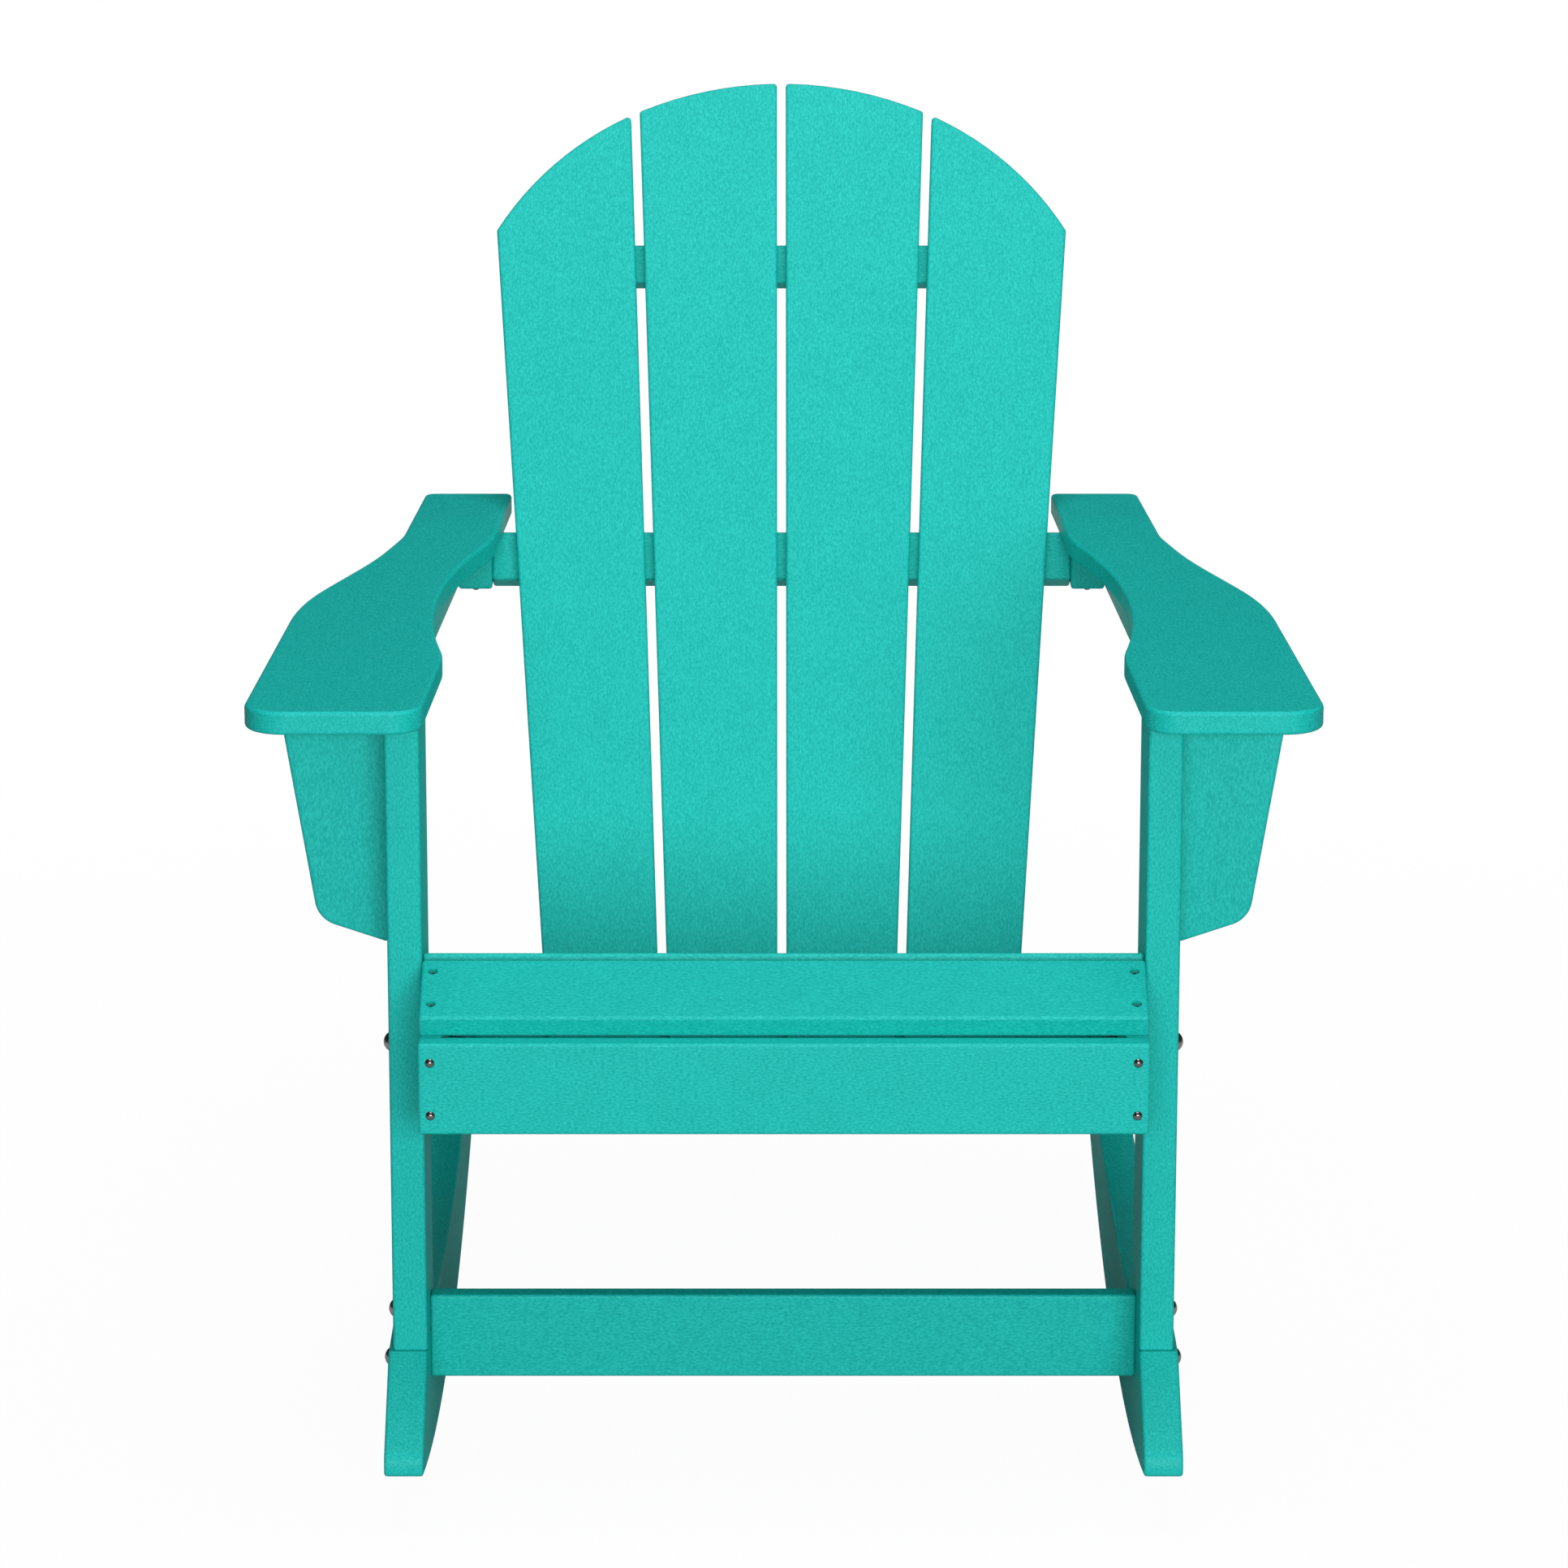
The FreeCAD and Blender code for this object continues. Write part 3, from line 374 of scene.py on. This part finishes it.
# %% [markdown]
# ## Where the fasteners sit
# The CAD model already has a plain solid for each fastener. Reading their places from it keeps
# the detailed ones exactly in their holes. Triangles that share corners belong to one solid, so
# each corner takes the smallest number among its neighbours until nothing changes. A screw's axis
# is the direction in which its corners spread most, and its head is at the wider end.

# %% Reading the fasteners' places


def solids_of(node):
    """Corner points of each solid in a CAD node, found by spreading the lowest label over every
    triangle and then following each label to its own."""
    mesh = nodes[node].data
    corners = np.empty(len(mesh.vertices) * 3, np.float32)
    mesh.vertices.foreach_get("co", corners)
    points, index = np.unique(np.round(corners.reshape(-1, 3) * 1e6).astype(np.int64), axis=0,
                              return_inverse=True)
    loops = np.empty(len(mesh.loops), np.int32)
    mesh.loops.foreach_get("vertex_index", loops)
    triangles = index.ravel()[loops].reshape(-1, 3)
    label = np.arange(len(points))
    while True:
        joined = label.copy()
        np.minimum.at(joined, triangles, label[triangles].min(axis=1)[:, None])
        joined = joined[joined]
        if np.array_equal(joined, label):
            return [points[label == k] / 1e6 for k in np.unique(label)]
        label = joined


def seat_of(points, axis=None):
    """Top point, direction and length of a turned part. The axis is the first principal one
    unless it is given, and it points to the end where the corners lie furthest from it."""
    middle = points.mean(axis=0)
    if axis is None:
        axis = np.linalg.svd(points - middle, full_matrices=False)[2][0]
    along = (points - middle) @ axis
    off_axis = np.linalg.norm(points - middle - along[:, None] * axis, axis=1)
    if along[off_axis.argmax()] < 0:
        axis, along = -axis, -along
    length = along.max() - along.min()
    ends = [points[np.abs(along - level) < length * 0.02].mean(axis=0)
            for level in (along.min(), along.max())]
    direction = (ends[1] - ends[0]) / np.linalg.norm(ends[1] - ends[0])
    return ends[1], direction, length


for node in ("seat_screws", "apron_screws", "stringer_bolts"):
    found = [seat_of(points) for points in solids_of(node)]
    print(node, len(found), "pieces, %.1f mm long" % (found[0][2] * 1000))

# %% [markdown]
# ## Turned parts as surfaces
# Every fastener here is a turned part: its surface is a function of two parameters, the angle
# round the axis and the step along a profile. A profile is a list of rings, each with a radius
# and a height. A ring may also be starred, so that a six-lobed driver socket can open in the
# middle of a round head, or six-sided, for a nut.

# %% Turned surfaces
around = 48
lobe_depth = 0.13


def turned(radius, height, star=0.0, sides=0.0):
    """Grid of points, ring by angle. A ring's radius is r (1 + depth star cos 6a), and where sides
    is 1 it becomes the distance to a hexagon's edge, r / cos of the angle from the nearest flat."""
    angle = np.arange(around) * 2 * np.pi / around
    radius, height, star, sides = np.broadcast_arrays(
        *(np.asarray(v, float) for v in (radius, height, star, sides)))
    lobed = radius[:, None] * (1 + lobe_depth * star[:, None] * np.cos(6 * angle))
    from_flat = (angle + np.pi / 6) % (np.pi / 3) - np.pi / 6
    lobed = np.where(sides[:, None] > 0, radius[:, None] / np.cos(from_flat), lobed)
    level = np.broadcast_to(height[:, None], lobed.shape)
    return np.stack([lobed * np.cos(angle), lobed * np.sin(angle), level], axis=2)


def ring_faces(rings, closed=False):
    """Quads between each ring and the next, round the whole angle. A closed profile also joins
    its last ring to its first."""
    ring = np.arange(rings if closed else rings - 1)[:, None]
    step = np.arange(around)[None, :]
    corner = [ring * around + step, ring * around + (step + 1) % around,
              (ring + 1) % rings * around + (step + 1) % around, (ring + 1) % rings * around + step]
    return np.stack(corner, axis=2).reshape(-1, 4)


def set_in_place(node, shape, material, closed=False, axis=None):
    """Makes a turned part for every solid of a CAD node, as one mesh. shape gives the grid for a
    length. A point of a part is its top point plus the point's x, y and z along the part's own
    three directions, which are turned by a random angle about its axis."""
    tops, ways, lengths = zip(*(seat_of(points, axis) for points in solids_of(node)))
    tops, ways = np.array(tops), np.array(ways)
    grids = np.stack([shape(length) for length in lengths])
    beside = np.where(np.abs(ways[:, :1]) < 0.9, [[1.0, 0, 0]], [[0, 1.0, 0]])
    first = np.cross(ways, beside)
    first /= np.linalg.norm(first, axis=1)[:, None]
    turn = np.random.default_rng(len(node)).uniform(0, 2 * np.pi, len(tops))[:, None]
    across = first * np.cos(turn) + np.cross(ways, first) * np.sin(turn)
    frames = np.stack([across, np.cross(ways, across), ways], axis=1)
    local = grids.reshape(len(tops), -1, 3)
    points = np.einsum("nki,nij->nkj", local, frames) + tops[:, None, :]
    one = ring_faces(grids.shape[1], closed)
    faces = (one[None] + np.arange(len(tops))[:, None, None] * local.shape[1]).reshape(-1, 4)
    mesh = bpy.data.meshes.new(node + "_turned")
    mesh.from_pydata(points.reshape(-1, 3), [], faces)
    shell = bmesh.new()
    shell.from_mesh(mesh)
    bmesh.ops.remove_doubles(shell, verts=shell.verts, dist=1e-6)
    bmesh.ops.recalc_face_normals(shell, faces=shell.faces)
    shell.to_mesh(mesh)
    shell.free()
    mesh.polygons.foreach_set("use_smooth", np.ones(len(mesh.polygons), bool))
    mesh.set_sharp_from_angle(angle=math.radians(35))
    mesh.materials.append(material)
    piece = bpy.data.objects.new(node + "_turned", mesh)
    bpy.context.scene.collection.objects.link(piece)
    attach(piece, "root")
    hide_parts(node)
    print("%s: %d of them, %d faces" % (piece.name, len(tops), len(mesh.polygons)))
    return piece


def head_radius(node, axis=None):
    """Largest distance of a corner from the axis in the first solid of a CAD node."""
    points = solids_of(node)[0]
    top, way, length = seat_of(points, axis)
    off_axis = (points - top) - ((points - top) @ way)[:, None] * way
    return np.linalg.norm(off_axis, axis=1).max()


# %% [markdown]
# ## Pan head screws
# A deck screw is formed from wire: a low domed head, a six-lobed socket for the driver with a
# small chamfer round its mouth, and a shank. The dome is a slice of a ball: at the distance r from
# the axis it lies ball - root(ball squared - r squared) below the top. A star-shaped ring at the
# socket fades into a round one at the rim, so no cut is needed.

# %% Pan head screws
screw_shank = 0.002
pan_height = 0.0026
mouth_share = 0.36


def dome_fall(distance, radius, height):
    """How far a ball's slice of that radius and height has fallen at a distance from the axis."""
    ball = (radius ** 2 + height ** 2) / (2 * height)
    return ball - np.sqrt(ball ** 2 - np.asarray(distance) ** 2)


def pan_screw(length, head=head_radius("back_slat_screws")):
    """Rings from the socket's floor, up its wall, over the dome and down the shank to its tip."""
    mouth = head * mouth_share
    over = np.array([1.08 * mouth, *np.linspace(1.25 * mouth, head, 9)])
    fall = dome_fall(over, head, pan_height)
    radius = [0, 0.6 * mouth, 0.94 * mouth, mouth, *over, screw_shank, screw_shank,
              0.7 * screw_shank, 0]
    star = [0, 1, 1, 1, 0.9, 0.5, 0.2, *np.zeros(7), 0, 0, 0, 0]
    socket = -0.68 * pan_height
    height = [socket, socket, 0.96 * socket, -fall[0] - 0.00008, *-fall, -pan_height,
              0.001 - length, 0.0003 - length, -length]
    return turned(radius, height, star)


for node in ("back_slat_screws", "lower_brace_screws", "block_screws", "rail_screws"):
    set_in_place(node, pan_screw, plain_steel)

# %% [markdown]
# ## Painted seat screws
# The screws through the seat, and those through the legs into the brackets, have flat painted
# heads, sunk a little below the face so that nobody feels them. The edge of such a head is rounded
# by its coat of enamel, and the socket shows as a small star.

# %% Painted seat screws
flat_head_depth = 0.003
edge_roll = 0.0005
star_depth, star_chamfer = 0.0018, 0.0001


def flat_screw(length, head=head_radius("seat_screws")):
    """Rings from the socket's floor over a flat head with a rounded edge to the shank's tip."""
    mouth = head * mouth_share
    bend = np.linspace(0, np.pi / 2, 5)
    radius = [0, 0.6 * mouth, 0.94 * mouth, mouth, 1.12 * mouth, 0.62 * head,
              *(head - edge_roll + edge_roll * np.sin(bend)), head, screw_shank, screw_shank,
              0.7 * screw_shank, 0]
    star = [0, 1, 1, 1, 0.9, 0.2, *np.zeros(10)]
    height = [-star_depth, -star_depth, star_chamfer - star_depth, -star_chamfer, 0, 0,
              *(edge_roll * (np.cos(bend) - 1)),
              -flat_head_depth, -flat_head_depth, 0.001 - length, 0.0003 - length, -length]
    return turned(radius, height, star)


set_in_place("seat_screws", flat_screw, enamel)
set_in_place("bracket_screws", flat_screw, enamel)

# %% [markdown]
# ## Bolts, nuts and washers
# The bolts at the sides have smooth polished domes, and the screws in the apron wear a low steel
# cap of the same shape, pressed over their heads, so each shows one sharp light. The two bolts
# that hold the seat carry a washer and a nut inside the stringer, and their threaded ends show
# beyond it. A thread is the same
# turned surface with a radius that rises and falls once for every turn: the fraction of
# (depth along the shank / pitch - angle / full turn) tells how far a point is from the crest.

# %% Bolts
bolt_dome = 0.0072
bolt_shank, lag_shank = 0.004, 0.003
thread_pitch, thread_depth, thread_run = 0.00125, 0.0007, 0.016
thread_rings = 120


def dome_bolt(length, shank, head, dome=bolt_dome, rim=0.0008):
    """Rings over a plain dome with a short straight rim, and down a shank to its tip."""
    over = head * np.sin(np.linspace(0, np.pi / 2, 14))
    radius = [*over, head, shank, shank, 0.75 * shank, 0]
    height = [*-dome_fall(over, head, dome - rim), -dome, -dome, 0.001 - length, -length, -length]
    return turned(radius, height)


def threaded_bolt(length, head=head_radius("stringer_bolts")):
    """A dome bolt whose last stretch is threaded: the radius is the shank's less the depth times
    how far the point is from the crest of its turn."""
    plain = dome_bolt(length, bolt_shank, head)
    depth = np.linspace(length - thread_run, length - 0.001, thread_rings)
    angle = np.arange(around) * 2 * np.pi / around
    phase = (depth[:, None] / thread_pitch - angle / (2 * np.pi)) % 1
    radius = bolt_shank - thread_depth * np.abs(2 * phase - 1)
    thread = np.stack([radius * np.cos(angle), radius * np.sin(angle),
                       np.broadcast_to(-depth[:, None], radius.shape)], axis=2)
    shank_end = turned([bolt_shank], [thread_run - length])
    return np.concatenate([plain[:-3], shank_end, thread, plain[-2:]])


def lag_bolt(length, head=head_radius("front_stretcher_bolts")):
    """A dome bolt with the thinner shank of a lag screw."""
    return dome_bolt(length, lag_shank, head)


def cap_screw(length, head=head_radius("apron_screws")):
    """A screw under a pressed cap: a low dome bolt on the thin shank of a wood screw."""
    return dome_bolt(length, screw_shank, head, dome=pan_height, rim=0.0003)


set_in_place("apron_screws", cap_screw, cap_steel_darkened_as_painted_shade)
set_in_place("stringer_bolts", threaded_bolt, polished_steel)
set_in_place("front_stretcher_bolts", lag_bolt, polished_steel)
set_in_place("rear_stretcher_bolts", lag_bolt, polished_steel)

# %% Nuts and washers
side_to_side = (1.0, 0, 0)


def washer(thickness, outer=0.008, inner=0.00415, edge=0.0003):
    """Closed profile of a stamped ring with softened edges, carried round the axis."""
    radius = [inner, inner + edge, outer - edge, outer, outer, outer - edge, inner + edge, inner]
    height = [-edge, 0, 0, -edge, edge - thickness, -thickness, -thickness, edge - thickness]
    return turned(radius, height)


def nut(thickness, flats=0.013, inner=0.00415, edge=0.0004):
    """Closed profile of a hexagon nut. The cone of its chamfer meets the six sides, so the side's
    top falls by the corner's overhang times tan 30."""
    half = flats / 2
    radius = [inner, inner + edge, 0.97 * half, half, half, 0.97 * half, inner + edge, inner]
    height = [-edge, 0, 0, 0, -thickness, -thickness, -thickness, edge - thickness]
    grid = turned(radius, height, sides=[0, 0, 0, 1, 1, 0, 0, 0])
    overhang = np.hypot(grid[3, :, 0], grid[3, :, 1]) - 0.97 * half
    grid[3, :, 2] -= overhang * math.tan(math.radians(30))
    grid[4, :, 2] += overhang * math.tan(math.radians(30))
    return grid


set_in_place("stringer_washers", washer, plain_steel, closed=True,
             axis=np.array(side_to_side))
set_in_place("stringer_nuts", nut, plain_steel, closed=True,
             axis=np.array(side_to_side))
for node in ("foot_dowels", "arm_dowels"):
    dress(node, pin_plastic)

# %% Colour view
bpy.context.scene.view_settings.view_transform = "Standard"
